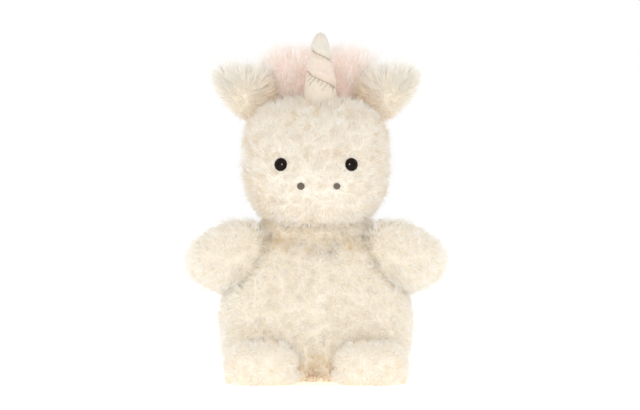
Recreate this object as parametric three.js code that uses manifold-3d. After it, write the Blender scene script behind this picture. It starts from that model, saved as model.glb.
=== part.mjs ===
// A small seated plush unicorn, 180 mm tall: sewn fur panels over fibre filling, a bag of beans in
// the seat, plastic eyes on washers, a padded cloth horn, and limbs, ears, head and tail that flex
// at their seams. Millimetres, +Z up. The toy faces -Y, so its own left is +X. The origin is on the
// floor under the middle of its bounding box.
import * as THREE from "three";
import { mergeVertices } from "three/addons/utils/BufferGeometryUtils.js";
import Module from "manifold-3d";

const wasm = await Module();
wasm.setup();

// ---- Driving dimensions ------------------------------------------------------------------------
const HEIGHT = 180; // floor to horn tip
const DEPTH = 113; // feet to tail
const FABRIC = 6; // fur cloth with its pile pressed down
const GAP = 0.3; // kept between pieces that touch
const FLEX_GAP = 1.2; // kept between a limb and what it flexes against
const BIG = 400; // half-space boxes used for cutting

const FLOOR = 0;
const TORSO = {
  centre: [0, 1.5, 36],
  side: 48,
  front: 36,
  back: 34.5,
  up: 41,
  down: 42,
  power: 3.1,
  waist: [34, 68], // heights between which the pear narrows
  widest: 0.98,
  narrowing: 0.17,
};
const SEAT_PANEL = 6; // height of the base panel
const TORSO_SEAM_Y = 2;

const NECK = { pivot: 78, hole: 12.3, ring: 14.8, thread: 0.7, ringZ: 80.2 };

const HEAD = {
  centre: [0, -3, 112],
  side: 35.5,
  front: 37,
  back: 36,
  up: 32.5,
  down: 31,
  power: 2.9,
  jaw: 0.0016, // share of the width gained for each mm above the widest point's height
  jawFrom: 118,
};
const HEAD_SEAM_Y = 4;
const HEAD_UNDERSIDE = 82;
const MUZZLE = { z: 99, height: 15, width: 27, out: 4.5 };
const FOREHEAD = { z: 116, rise: 26, back: 7 };

const EYE = { x: 18, z: 112.5, r: 3.3, dome: 2.3, shank: 1.2, shankLength: 9, seat: 0.6 };
const WASHER = { r: 4.6, bore: 1.5, thick: 1.2, depth: 6.2 };
const NOSTRIL = { x: 9.1, aside: 1.4, z: 101.5, r: 1.9, thick: 1.3, seat: 0.6 };

const HORN = { x: 2.2, y: -12, base: 141.5, root: 4, r: 8.4, cloth: 1.1, lean: 10 };
const HORN_OUTLINE = [
  // [share of the base radius, share of the height], with a pinch where each thread pulls it in
  [0.97, 0],
  [1.0, 0.14],
  [0.97, 0.27],
  [0.83, 0.38],
  [0.84, 0.46],
  [0.74, 0.58],
  [0.56, 0.68],
  [0.57, 0.76],
  [0.51, 0.86],
  [0.33, 0.96],
];
const HORN_THREAD_R = 0.3;

const EAR = {
  centre: [39.5, 1, 148],
  length: 16.5,
  width: 13.5,
  tip: 0.36, // how much narrower it is at the tip than across the middle
  lining: 2.6,
  back: 4,
  cup: 3.5, // how far the middle of the ear sits behind its rim
  rise: 36, // degrees above the horizon
  root: [29.5, 1, 140.5],
  flap: 25,
};

const ARM = {
  centre: [44.5, -7, 63.8],
  side: 20.5,
  front: 17,
  up: 15.5,
  down: 15,
  shoulder: 0.3, // slope of its top, up towards the neck
  seamTop: [26, -3, 76],
  seamFoot: [41, -3, 49],
  forward: 25,
  back: 15,
};

const LEG = {
  centre: [28, -33, 9.5],
  side: 16.8,
  front: DEPTH / 2 - 33,
  up: 10.8,
  power: 2.9,
  crease: [-31, 19], // y and z of the fold along its top
  soleY: -50,
  lift: 35,
};

const TAIL = {
  centre: [0, 44.5, 24],
  side: 9.5,
  front: DEPTH / 2 - 44.5,
  up: 10.5,
  power: 2,
  pivotY: 38.5,
  wag: 30,
};

const MANE = {
  forelock: { centre: [1, 10, 146], side: 25.5, front: 12, up: 25, power: 2.5 },
  crest: { side: 12, rise: 8, foot: 92 },
};

const BEANS = { centre: [0, 3, 15.5], side: 27, front: 20, up: 12, cloth: 0.8, mouth: 2.5 };
const BAG_FLOOR = SEAT_PANEL + 2 * GAP; // the bag lies flat on the base panel
const LABEL = { root: 32.6, z: 8, width: 12, length: 14, thick: 0.5 };

// ---- Solids and cuts ---------------------------------------------------------------------------
// A closed three.js geometry as a solid that can be joined and cut.
function solidOf(geometry) {
  const loose = geometry.index ? geometry.toNonIndexed() : geometry;
  const bare = new THREE.BufferGeometry().setAttribute("position", loose.getAttribute("position"));
  const merged = mergeVertices(bare, 1e-4);
  return new wasm.Manifold(
    new wasm.Mesh({
      numProp: 3,
      vertProperties: new Float32Array(merged.attributes.position.array),
      triVerts: new Uint32Array(merged.index.array),
    }),
  );
}

function geometryOf(solid) {
  const mesh = solid.getMesh();
  const geometry = new THREE.BufferGeometry();
  geometry.setAttribute("position", new THREE.BufferAttribute(mesh.vertProperties, 3));
  geometry.setIndex(new THREE.BufferAttribute(mesh.triVerts, 1));
  geometry.computeVertexNormals();
  return geometry;
}

// A half-space as a box: everything on one side of a plane across x, y or z.
function side(axis, from, towards) {
  const box = new THREE.BoxGeometry(BIG, BIG, BIG);
  const shift = new THREE.Vector3();
  shift[axis] = from + (towards * BIG) / 2;
  return solidOf(box.translate(shift.x, shift.y, shift.z));
}

const mirrored = (geometry) => {
  const copy = (geometry.index ? geometry.toNonIndexed() : geometry).clone();
  const p = copy.attributes.position;
  for (let i = 0; i < p.count; i += 3) {
    const corners = [0, 2, 1].map((k) => [-p.getX(i + k), p.getY(i + k), p.getZ(i + k)]);
    corners.forEach((c, k) => p.setXYZ(i + k, ...c));
  }
  return copy;
};

function turned(geometry, pivot, axis, degrees) {
  const turn = new THREE.Matrix4().makeRotationAxis(
    new THREE.Vector3(...axis).normalize(),
    THREE.MathUtils.degToRad(degrees),
  );
  const to = new THREE.Matrix4().makeTranslation(...pivot);
  const from = new THREE.Matrix4().makeTranslation(...pivot.map((v) => -v));
  return geometry.clone().applyMatrix4(to.multiply(turn).multiply(from));
}

// Cuts from solid whatever obstacle would touch while solid turns about pivot.
function clearedOf(solid, obstacle, pivot, axis, angles) {
  return angles.reduce(
    (left, angle) => left.subtract(solidOf(turned(obstacle, pivot, axis, -angle))),
    solid,
  );
}

// A stuffed form: a rounded box of the stated half sizes about its centre. inset shrinks it evenly,
// and warp moves each point of the full-size form.
function cushion(form, inset = 0, detail = 4, warp = (p) => p) {
  const { centre, power = 2.2 } = form;
  const geometry = new THREE.IcosahedronGeometry(1, detail);
  const position = geometry.attributes.position;
  const n = new THREE.Vector3();
  for (let i = 0; i < position.count; i += 1) {
    n.fromBufferAttribute(position, i).normalize();
    const depth = n.y < 0 ? form.front : (form.back ?? form.front);
    const half = [form.side, depth, n.z > 0 ? form.up : (form.down ?? form.up)];
    const sum = n.toArray().reduce((s, v, k) => s + Math.abs(v / (half[k] - inset)) ** power, 0);
    n.multiplyScalar(sum ** (-1 / power)).add(new THREE.Vector3(...centre));
    position.setXYZ(i, ...warp(n.toArray()));
  }
  return geometry;
}

// A pin of radius r from one distance to another along an axis, measured outward from a surface point.
function pinAlong({ point, normal }, r, from, to, sides = 14) {
  const pin = new THREE.CylinderGeometry(r, r, to - from, sides);
  pin.translate(0, (from + to) / 2, 0);
  return placed(pin, { point, normal });
}

// Stands a geometry made along +Y on a surface point, along its outward normal.
function placed(geometry, { point, normal }) {
  const turn = new THREE.Quaternion().setFromUnitVectors(new THREE.Vector3(0, 1, 0), normal);
  return geometry.applyQuaternion(turn).translate(point.x, point.y, point.z);
}

// ---- Materials ---------------------------------------------------------------------------------
const cloth = (colour, roughness = 0.95) =>
  new THREE.MeshStandardMaterial({ color: colour, roughness, metalness: 0 });
const creamFur = cloth(0xf6eedc);
const pinkFur = cloth(0xf3d3c6);
const liningFur = cloth(0xf3e3cf);
const hornCloth = cloth(0xeee3d2, 0.6);
const filling = cloth(0xfbfaf6);
const bagCloth = cloth(0xf2efe8);
const labelCloth = cloth(0xfdfdfb, 0.5);
const seamThread = cloth(0xe6d9bf, 0.8);
const hornThread = cloth(0xb9a88f, 0.6);
const nostrilThread = cloth(0x6e5f50, 0.7);
const eyePlastic = cloth(0x120c08, 0.12);
const washerPlastic = cloth(0xe9e7e0, 0.4);
const beanPlastic = cloth(0xf4f2ea, 0.4);

const toy = new THREE.Group();
function add(name, shape, material) {
  const geometry = shape instanceof THREE.BufferGeometry ? shape : geometryOf(shape);
  const mesh = new THREE.Mesh(geometry, material);
  mesh.name = name;
  toy.add(mesh);
}

// ---- Torso -------------------------------------------------------------------------------------
// The body is a pear: it narrows from the seat to the neck.
function pearWarp([x, y, z]) {
  const width = TORSO.widest - TORSO.narrowing * THREE.MathUtils.smoothstep(z, ...TORSO.waist);
  return [x * width, TORSO.centre[1] + (y - TORSO.centre[1]) * width, z];
}
const torsoForm = (inset, detail) => cushion(TORSO, inset, detail, pearWarp);
const aboveFloor = side("z", FLOOR, 1);
const neckAt = (from, to, r) => {
  const pin = new THREE.CylinderGeometry(r, r, to - from, 20).rotateX(Math.PI / 2);
  return solidOf(pin.translate(0, 0, (from + to) / 2));
};

const torsoShell = solidOf(torsoForm(0, 5))
  .intersect(aboveFloor)
  .subtract(solidOf(torsoForm(FABRIC, 3)).intersect(side("z", SEAT_PANEL, 1)))
  .subtract(neckAt(60, 90, NECK.hole));
const aboveSeat = torsoShell.intersect(side("z", SEAT_PANEL + GAP, 1));
const behindSeam = aboveSeat.intersect(side("y", TORSO_SEAM_Y + GAP, 1));
add("base_panel", torsoShell.intersect(side("z", SEAT_PANEL, -1)), creamFur);
add("belly_panel", aboveSeat.intersect(side("y", TORSO_SEAM_Y, -1)), creamFur);
add("back_panel_right", behindSeam.intersect(side("x", -GAP / 2, -1)), creamFur);
add("back_panel_left", behindSeam.intersect(side("x", GAP / 2, 1)), creamFur);

add(
  "torso_stuffing",
  solidOf(torsoForm(FABRIC + GAP, 3))
    .intersect(side("z", SEAT_PANEL + GAP, 1))
    .add(neckAt(60, NECK.pivot - 1, NECK.hole - GAP))
    .subtract(solidOf(cushion(BEANS, -GAP, 2))),
  filling,
);
const bagAt = (inset) =>
  solidOf(cushion(BEANS, inset, 2)).intersect(side("z", BAG_FLOOR + inset, 1));
add(
  "bean_bag",
  bagAt(0).subtract(bagAt(BEANS.cloth)).subtract(neckAt(BEANS.centre[2], 40, BEANS.mouth)),
  bagCloth,
);
add("bean_pellets", bagAt(BEANS.cloth + GAP), beanPlastic);

// The care label comes out of the seam between the back and the base, under the tail.
const labelShape = new THREE.BoxGeometry(LABEL.width, LABEL.length, LABEL.thick);
add("care_label", labelShape.translate(0, LABEL.root + LABEL.length / 2, LABEL.z), labelCloth);

// The thread that closes the neck.
add(
  "neck_seam",
  new THREE.TorusGeometry(NECK.ring, NECK.thread, 6, 28).translate(0, 0, NECK.ringZ),
  seamThread,
);

// ---- Head --------------------------------------------------------------------------------------
// The jaw is narrower than the brow, the muzzle stands out low on the face, and the forehead
// leans back above it.
function headWarp([x, y, z]) {
  const ahead = THREE.MathUtils.clamp((HEAD.centre[1] - y) / HEAD.front, 0, 1);
  const bulge = Math.exp(-(((z - MUZZLE.z) / MUZZLE.height) ** 2) - (x / MUZZLE.width) ** 2);
  const lean = THREE.MathUtils.smoothstep(z, FOREHEAD.z, FOREHEAD.z + FOREHEAD.rise);
  const width = 1 + HEAD.jaw * (z - HEAD.jawFrom);
  return [x * width, y - ahead * (MUZZLE.out * bulge - FOREHEAD.back * lean), z];
}
const headForm = (inset, detail) => cushion(HEAD, inset, detail, headWarp);

// The point of the face at x and z, and the direction it looks in.
function faceAt(x, z) {
  const depth = (px, pz) => {
    const dz = pz - HEAD.centre[2];
    const share =
      Math.abs(px / HEAD.side) ** HEAD.power +
      Math.abs(dz / (dz > 0 ? HEAD.up : HEAD.down)) ** HEAD.power;
    const y = HEAD.centre[1] - HEAD.front * (1 - share) ** (1 / HEAD.power);
    return headWarp([px, y, pz])[1];
  };
  const step = 0.5;
  const slopeX = (depth(x + step, z) - depth(x - step, z)) / (2 * step);
  const slopeZ = (depth(x, z + step) - depth(x, z - step)) / (2 * step);
  return {
    point: new THREE.Vector3(x, depth(x, z), z),
    normal: new THREE.Vector3(slopeX, -1, slopeZ).normalize(),
  };
}

function eyeShape() {
  const arc = Array.from({ length: 6 }, (_, i) => {
    const a = (i / 5) * (Math.PI / 2);
    return new THREE.Vector2(EYE.r * Math.cos(a), EYE.dome * Math.sin(a));
  });
  arc[arc.length - 1].x = 0;
  const stem = [
    [0, -EYE.shankLength],
    [EYE.shank, -EYE.shankLength],
    [EYE.shank, -EYE.seat],
    [EYE.r, -EYE.seat],
  ].map(([r, h]) => new THREE.Vector2(r, h));
  return new THREE.LatheGeometry([...stem, ...arc], 14);
}

function washerShape() {
  const h = -WASHER.depth;
  const ring = [
    [WASHER.bore, h - WASHER.thick],
    [WASHER.r, h - WASHER.thick],
    [WASHER.r, h],
    [WASHER.bore, h],
    [WASHER.bore, h - WASHER.thick],
  ].map(([r, y]) => new THREE.Vector2(r, y));
  return new THREE.LatheGeometry(ring, 14);
}

function nostrilShape() {
  const outline = [
    [0, -NOSTRIL.seat],
    [NOSTRIL.r, -NOSTRIL.seat],
    [NOSTRIL.r, 0.1],
    [NOSTRIL.r * 0.7, 0.55],
    [0, NOSTRIL.thick - NOSTRIL.seat],
  ].map(([r, h]) => new THREE.Vector2(r, h));
  return new THREE.LatheGeometry(outline, 10);
}

let headShell = solidOf(headForm(0, 5))
  .intersect(side("z", HEAD_UNDERSIDE, 1))
  .subtract(solidOf(headForm(FABRIC, 3)).intersect(side("z", HEAD_UNDERSIDE + FABRIC, 1)))
  .subtract(neckAt(70, 95, NECK.hole));
let headFilling = solidOf(headForm(FABRIC + GAP, 3))
  .intersect(side("z", HEAD_UNDERSIDE + FABRIC + GAP, 1))
  .add(neckAt(NECK.pivot + 1.2, 95, NECK.hole - GAP));

for (const [name, sign] of [
  ["left", 1],
  ["right", -1],
]) {
  const eyeSeat = faceAt(sign * EYE.x, EYE.z);
  const nostrilSeat = faceAt(NOSTRIL.aside + sign * NOSTRIL.x, NOSTRIL.z);
  const washerHole = pinAlong(eyeSeat, WASHER.r + GAP, -WASHER.depth - 6, -WASHER.depth + GAP);
  headShell = headShell
    .subtract(solidOf(pinAlong(eyeSeat, EYE.r + GAP, -EYE.seat - GAP, 4)))
    .subtract(solidOf(pinAlong(eyeSeat, EYE.shank + GAP, -EYE.shankLength, 1)))
    .subtract(solidOf(washerHole))
    .subtract(solidOf(pinAlong(nostrilSeat, NOSTRIL.r + GAP, -NOSTRIL.seat - GAP, 3)));
  headFilling = headFilling.subtract(solidOf(washerHole));
  add(`eye_${name}`, placed(eyeShape(), eyeSeat), eyePlastic);
  add(`eye_washer_${name}`, placed(washerShape(), eyeSeat), washerPlastic);
  add(`nostril_${name}`, placed(nostrilShape(), nostrilSeat), nostrilThread);
}
const headBehind = headShell.intersect(side("y", HEAD_SEAM_Y + GAP, 1));
add("face_panel", headShell.intersect(side("y", HEAD_SEAM_Y, -1)), creamFur);
add("head_back_right", headBehind.intersect(side("x", -GAP / 2, -1)), creamFur);
add("head_back_left", headBehind.intersect(side("x", GAP / 2, 1)), creamFur);
add("head_stuffing", headFilling, filling);

// ---- Mane --------------------------------------------------------------------------------------
// One strip of long pile: a tall forelock behind the horn, then a crest down to the nape.
const crest = cushion(
  {
    ...HEAD,
    side: MANE.crest.side,
    back: HEAD.back + MANE.crest.rise,
    up: HEAD.up + MANE.crest.rise,
  },
  0,
  4,
);
add(
  "mane",
  solidOf(cushion(MANE.forelock, 0, 3))
    .add(solidOf(crest).intersect(side("y", MANE.forelock.centre[1], 1)))
    .intersect(side("z", MANE.crest.foot, 1))
    .subtract(solidOf(headForm(-GAP, 5))),
  pinkFur,
);

// ---- Horn --------------------------------------------------------------------------------------
const hornHeight = HEIGHT - HORN.base;
const hornCurve = new THREE.SplineCurve(
  HORN_OUTLINE.map(([r, h]) => new THREE.Vector2(r * HORN.r, h * hornHeight)),
);
const onHorn = {
  point: new THREE.Vector3(HORN.x, HORN.y, HORN.base),
  normal: new THREE.Vector3(0, 0, 1),
};
function hornBody(inset, from) {
  const points = hornCurve.getPoints(12).filter((p) => p.y < hornHeight - inset * 1.5);
  const kept = points.map((p) => new THREE.Vector2(Math.max(p.x - inset, 0.6), p.y));
  const foot = new THREE.Vector2(kept[0].x, from);
  const tip = new THREE.Vector2(0, hornHeight - inset);
  const outline = [new THREE.Vector2(0, from), foot, ...kept, tip];
  return solidOf(placed(new THREE.LatheGeometry(outline, 20), onHorn));
}
const headGrown = headForm(-GAP, 5);
const hornPivot = [HORN.x, HORN.y, HORN.base];
const onForehead = (solid) =>
  clearedOf(solid, headGrown, hornPivot, [1, 0, 0], [-HORN.lean, 0, HORN.lean]);
add(
  "horn_cover",
  onForehead(hornBody(0, -HORN.root).subtract(hornBody(HORN.cloth, -HORN.root - 1))),
  hornCloth,
);
add("horn_stuffing", onForehead(hornBody(HORN.cloth + GAP, -HORN.root)), filling);

// Each thread lies across the front of the horn, falling towards the toy's left.
function hornThreadPath(high, low, turn) {
  return Array.from({ length: 9 }, (_, i) => {
    const share = i / 8;
    const height = hornHeight * (high + (low - high) * share);
    const angle = THREE.MathUtils.degToRad(-90 + turn * (share - 0.5));
    const r = hornCurve.getPoints(60).find((p) => p.y >= height).x + HORN_THREAD_R + GAP;
    return new THREE.Vector3(
      HORN.x + r * Math.cos(angle),
      HORN.y + r * Math.sin(angle),
      HORN.base + height,
    );
  });
}
for (const [name, high, low, turn] of [
  ["horn_thread_upper", 0.76, 0.63, 150],
  ["horn_thread_lower", 0.48, 0.26, 170],
]) {
  const section = new THREE.Shape().absarc(0, 0, HORN_THREAD_R, 0, 2 * Math.PI);
  const extrudePath = new THREE.CatmullRomCurve3(hornThreadPath(high, low, turn));
  const thread = new THREE.ExtrudeGeometry(section, { steps: 10, curveSegments: 3, extrudePath });
  add(name, thread, hornThread);
}

// ---- Ears --------------------------------------------------------------------------------------
// A cupped leaf pointing up and out: a fur back and a softer lining that meet around the rim. It
// flaps forward and back on the seam at its root.
const riseAngle = THREE.MathUtils.degToRad(EAR.rise);
const earSeamAxis = [-Math.sin(riseAngle), 0, Math.cos(riseAngle)];
function earLayer(front, back) {
  const steps = Array.from({ length: 8 }, (_, i) => i / 7);
  const at = (y, r) => new THREE.Vector2(r, y * (1 - 0.7 * r * r) + EAR.cup * (1 - r * r));
  const face = (y, shares) => shares.map((r) => at(y, r));
  const outline = [...face(front, steps), ...face(back, [...steps].reverse())];
  const layer = new THREE.LatheGeometry(outline, 28);
  const p = layer.attributes.position;
  for (let i = 0; i < p.count; i += 1) {
    p.setX(i, p.getX(i) * EAR.length);
    p.setZ(i, p.getZ(i) * EAR.width * (1 - (EAR.tip * p.getX(i)) / EAR.length));
  }
  return layer.rotateY(-riseAngle).translate(...EAR.centre);
}
const headClear = headForm(-FLEX_GAP, 5);
const flapAngles = [-1, -0.5, 0, 0.5, 1].map((share) => share * EAR.flap);
const earCleared = (layer) =>
  [headClear, cushion(MANE.forelock, -FLEX_GAP, 4)].reduce(
    (solid, obstacle) => clearedOf(solid, obstacle, EAR.root, earSeamAxis, flapAngles),
    solidOf(layer),
  );

// ---- Arms --------------------------------------------------------------------------------------
const torsoClear = torsoForm(-FLEX_GAP, 5);
const armSeamAxis = ARM.seamTop.map((v, i) => v - ARM.seamFoot[i]);
const armPivot = ARM.seamTop.map((v, i) => (v + ARM.seamFoot[i]) / 2);
const armAngles = [-ARM.back, 0, ARM.forward / 2, ARM.forward];
// A positive turn about the seam carries the left arm back, so forward angles are negative here.
function armWarp([x, y, z]) {
  const share = THREE.MathUtils.clamp((z - ARM.centre[2]) / ARM.up, 0, 1);
  return [x, y, z + ARM.shoulder * share * (ARM.centre[0] - x)];
}
const armForm = (inset, detail) => cushion(ARM, inset, detail, armWarp);
const armCleared = (inset, detail) =>
  clearedOf(
    solidOf(armForm(inset, detail)),
    torsoClear,
    armPivot,
    armSeamAxis,
    armAngles.map((a) => -a),
  );

// ---- Legs --------------------------------------------------------------------------------------
const legPivot = [0, ...LEG.crease];
const legAngles = [0, LEG.lift / 3, (2 * LEG.lift) / 3, LEG.lift];
function legCleared(inset, detail) {
  const floor = new THREE.BoxGeometry(BIG, BIG, BIG).translate(0, 0, FLOOR + inset - BIG / 2);
  return [torsoClear, floor].reduce(
    (solid, obstacle) => clearedOf(solid, obstacle, legPivot, [-1, 0, 0], legAngles),
    solidOf(cushion(LEG, inset, detail)),
  );
}

// A limb's cover is open where it meets the body, as the cut through its hollow leaves it.
const arm = armCleared(0, 4);
const armHollow = armForm(FABRIC, 3);
const armFilling = armCleared(FABRIC + GAP, 3);
const leg = legCleared(0, 4);
const legHollow = solidOf(cushion(LEG, FABRIC, 3)).intersect(side("z", FLOOR + FABRIC, 1));
const legFilling = legCleared(FABRIC + GAP, 3);

const armCover = arm.subtract(solidOf(armHollow));
const legCover = leg.subtract(legHollow);
const limbPieces = [
  ["ear", "back", earCleared(earLayer(GAP, EAR.back)), creamFur],
  ["ear", "lining", earCleared(earLayer(-EAR.lining, -GAP)), liningFur],
  ["arm", "front", armCover.intersect(side("y", ARM.centre[1] - GAP / 2, -1)), creamFur],
  ["arm", "back", armCover.intersect(side("y", ARM.centre[1] + GAP / 2, 1)), creamFur],
  ["arm", "stuffing", armFilling, filling],
  ["leg", "cover", legCover.intersect(side("y", LEG.soleY + GAP, 1)), creamFur],
  ["leg", "sole", legCover.intersect(side("y", LEG.soleY, -1)), creamFur],
  ["leg", "stuffing", legFilling, filling],
];
for (const [limb, piece, solid, material] of limbPieces) {
  const geometry = geometryOf(solid);
  add(`${limb}_left_${piece}`, geometry, material);
  add(`${limb}_right_${piece}`, mirrored(geometry), material);
}

// ---- Tail --------------------------------------------------------------------------------------
add(
  "tail",
  clearedOf(
    solidOf(cushion(TAIL, 0, 3)),
    torsoClear,
    [0, TAIL.pivotY, TAIL.centre[2]],
    [0, 0, 1],
    [-1, -0.5, 0, 0.5, 1].map((share) => share * TAIL.wag),
  ),
  pinkFur,
);

export default toy;
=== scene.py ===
"""A small seated plush unicorn: curly cream fur over stuffed panels, a stitched cloth horn and a
pink mane. Shapes are written in millimetres, in the CAD frame (+Z up, the face looks along -Y,
+X is the toy's own left), and turned into metres when a mesh is made."""

import math

import bmesh
import bpy
import numpy as np
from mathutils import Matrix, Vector
from mathutils.kdtree import KDTree


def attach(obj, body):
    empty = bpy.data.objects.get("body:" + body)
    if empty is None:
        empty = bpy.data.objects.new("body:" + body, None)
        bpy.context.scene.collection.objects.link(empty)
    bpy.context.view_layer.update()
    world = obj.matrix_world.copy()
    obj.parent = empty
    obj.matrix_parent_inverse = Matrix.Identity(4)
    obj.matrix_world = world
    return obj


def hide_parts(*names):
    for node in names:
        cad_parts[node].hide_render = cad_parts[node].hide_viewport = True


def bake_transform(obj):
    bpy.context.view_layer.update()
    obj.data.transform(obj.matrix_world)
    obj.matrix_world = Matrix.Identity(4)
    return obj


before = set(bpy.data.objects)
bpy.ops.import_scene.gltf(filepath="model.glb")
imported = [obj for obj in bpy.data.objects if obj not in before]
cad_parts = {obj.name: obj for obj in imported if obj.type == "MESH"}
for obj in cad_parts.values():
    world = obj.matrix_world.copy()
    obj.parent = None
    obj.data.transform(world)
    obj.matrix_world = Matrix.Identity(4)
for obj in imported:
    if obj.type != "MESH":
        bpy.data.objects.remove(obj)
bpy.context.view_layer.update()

MM = 0.001
FLOOR = 0.3  # lowest height that any thread of pile reaches
SIDES = {"left": 1, "right": -1}

# ---- Forms ----
TORSO = dict(centre=(0, 1.5, 36), side=48, front=36, back=34.5, up=41, down=42, power=3.1)
TORSO_WAIST = (34, 68)
TORSO_WIDEST = 0.98
TORSO_NARROWING = 0.17
ARCH = {"rise": 6.8, "width": 7.5, "from": (8, 26)}
HEAD = dict(centre=(0, -3, 112), side=35.5, front=37, back=36, up=32.5, down=31, power=2.9)
JAW = 0.0016
JAW_FROM = 118
MUZZLE = dict(z=99, height=15, width=27, out=4.5)
FOREHEAD = dict(z=116, rise=26, back=7)
ARM = dict(centre=(44.5, -7, 63.8), side=20.5, front=17, up=15.5, down=15, power=2.2)
ARM_SHOULDER = 0.3
LEG = dict(centre=(28, -33, 9.5), side=16.8, front=23.5, up=10.8, power=2.9)
TAIL = dict(centre=(0, 44.5, 24), side=9.5, front=12, up=10.5, power=2.0)
FORELOCK = dict(centre=(1, 10, 146), side=26, front=10.5, back=12, up=24, power=5.5)
MANE_FLARE = dict(aside=3.0, up=1.5)
CREST = dict(HEAD, side=12, back=44, up=40.5)
CREST_FOOT = 92
FORELOCK_FOOT = 138
EAR = dict(centre=(39, 1, 148), length=15.5, width=12.5, tip=0.36, cup=2.4, rise=36, below=0.62)
EAR_CENTRE = np.array(EAR["centre"])
EAR_OUT = np.array([math.cos(math.radians(EAR["rise"])), 0, math.sin(math.radians(EAR["rise"]))])
HORN = dict(x=2.2, y=-12, base=141.5, top=180, r=8.4)
HORN_TALL = HORN["top"] - HORN["base"]
HORN_MIDDLE = 155
EYE = dict(x=18, z=112.5, r=3.4, dome=2.4)
SHANK = 9  # how deep the eye's shank reaches behind the face
NOSTRIL = dict(x=9.1, aside=1.4, z=101.5, r=1.9)
NOSE = 108  # height that the pile of the face is brushed away from
BROW = (130, 142)  # heights over which the pile of the face grows longer
NECK_HOLE = dict(radius=12.3, heights=(60, 95))
NECK_BARE = dict(radius=18, heights=(68, 90))  # cloth without pile, where head and body turn
NECK_RING = dict(r=14.8, z=80.2, thread=0.7)
NECK_SLEEVE = ((31.5, 66), (30, 70), (28.5, 74), (27.5, 78), (26.5, 82), (25, 85))  # radius, height
NECK_DEEP = 0.72  # the sleeve's depth, as a share of its width
BACKING = 2.2  # thickness of the knitted backing cloth
EAR_BACKING = 0.5  # the same cloth, sheared thin for the ears
WASHER = dict(r=4.6, bore=1.5, thick=1.2, depth=6.2)
HORN_ENVELOPE = (  # share of the height, share of the base radius
    ((-0.12, 0.95), (0.0, 0.99), (0.14, 1.0), (0.3, 0.95), (0.45, 0.87), (0.6, 0.74))
    + ((0.75, 0.6), (0.86, 0.52), (0.93, 0.41), (0.975, 0.25), (1.0, 0.02))
)
HORN_SPIRAL = ((0, 0.76), (150, 0.63), (350, 0.48), (520, 0.26))  # degrees round it, height share
HORN_PULL = dict(depth=1.3, width=1.5, pucker=0.22, puff=0.8, puff_at=3.0)
HORN_SPIRAL_START = -165  # degrees, seen from above
BEANS = dict(centre=(0, 3, 15.5), side=27, front=20, up=12, power=2.2)
BAG_FLOOR = 6.6
BAG_CLOTH = 0.8
PELLET_GAP = 3.5
LABEL = dict(root=32.6, z=8, width=12, length=14, slack=0.3, thick=0.4)
ASKEW = (0.31, 0.52, 0.79)  # a direction that no thread runs along

# ---- Seams, and the two ends of each join from one body to the next ----
TORSO_SEAMS = (6.0, 2.0)  # height of the seat's seam, and how far back the side seams are
HEAD_SEAM = 4.0
SOLE_SEAM = -50
CREASE_SHADE_RANGES = dict(chin=(60, 72), crotch=(-21, -5), thighs=(-13, -4))  # painted shade: ranges of z, -z and -|x|
ARM_JOIN = ((34, -4, 63), (44, -7, 58))
LEG_JOIN = ((27, -28, 9), (27, -38, 9))
EAR_JOIN = ((29, 1, 140), (37, 1, 146))
TAIL_JOIN = ((0, 34, 24), (0, 41, 24))
NECK_JOIN = ((0, 0, 75), (0, 0, 81))

# ---- Camera and lamps: the lamps in metres, as name, place, size, power, shine only ----
CAMERA = dict(aside=2, height=91.2, distance=3.0, elevation=1.0, width=330)
LAMPS = (
    ("front", (-0.3, -1.6, 0.1), 0.9, 1.2, False),
    ("glint", (-0.1, -1.1, 0.3), 0.25, 13.0, True),
)
LAMP_AIM = Vector((0, 0, 0.09))


def smoothstep(value, low, high):
    t = np.clip((value - low) / (high - low), 0, 1)
    return t * t * (3 - 2 * t)


def sphere(detail):
    """Corners and triangles of a unit sphere of nearly even triangles."""
    bm = bmesh.new()
    bmesh.ops.create_icosphere(bm, subdivisions=detail, radius=1)
    return taken(bm)


def half_sizes(d, form):
    """The half sizes of a rounded box on the side that each direction or point lies."""
    half = np.empty_like(d)
    half[:, 0] = form["side"]
    half[:, 1] = np.where(d[:, 1] < 0, form["front"], form.get("back", form["front"]))
    half[:, 2] = np.where(d[:, 2] > 0, form["up"], form.get("down", form["up"]))
    return half


def cushion(form, detail=5, inset=0.0, warp=None):
    """A stuffed form: a rounded box of the stated half sizes about its centre."""
    d, faces = sphere(detail)
    share = np.abs(d / (half_sizes(d, form) - inset)) ** form["power"]
    reach = share.sum(1) ** (-1 / form["power"])
    points = np.array(form["centre"]) + d * reach[:, None]
    if warp:
        points = warp(points)
    points[:, 2] = np.maximum(points[:, 2], FLOOR)
    return points, faces


def waist(z):
    """How wide the body is at a height, as a share."""
    return (TORSO_WIDEST - TORSO_NARROWING * smoothstep(z, *TORSO_WAIST))[:, None]


def pear(p):
    """The body narrows from the seat to the neck, and its seat is arched between the legs."""
    centre = np.array([0, TORSO["centre"][1]])
    out = p.copy()
    out[:, :2] = centre + (p[:, :2] - centre) * waist(p[:, 2])
    arch = ARCH["rise"] * np.exp(-((out[:, 0] / ARCH["width"]) ** 2))
    out[:, 2] = np.maximum(out[:, 2], FLOOR + arch * smoothstep(-out[:, 1], *ARCH["from"]))
    return out


def face(p):
    """The jaw is narrower than the brow, the muzzle stands out low, and the forehead leans back."""
    x, y, z = p.T
    ahead = np.clip((HEAD["centre"][1] - y) / HEAD["front"], 0, 1)
    low = ((z - MUZZLE["z"]) / MUZZLE["height"]) ** 2
    bulge = np.exp(-low - (x / MUZZLE["width"]) ** 2)
    lean = smoothstep(z, FOREHEAD["z"], FOREHEAD["z"] + FOREHEAD["rise"])
    width = 1 + JAW * (z - JAW_FROM)
    back = ahead * (MUZZLE["out"] * bulge - FOREHEAD["back"] * lean)
    return np.stack([x * width, y - back, z], 1)


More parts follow.
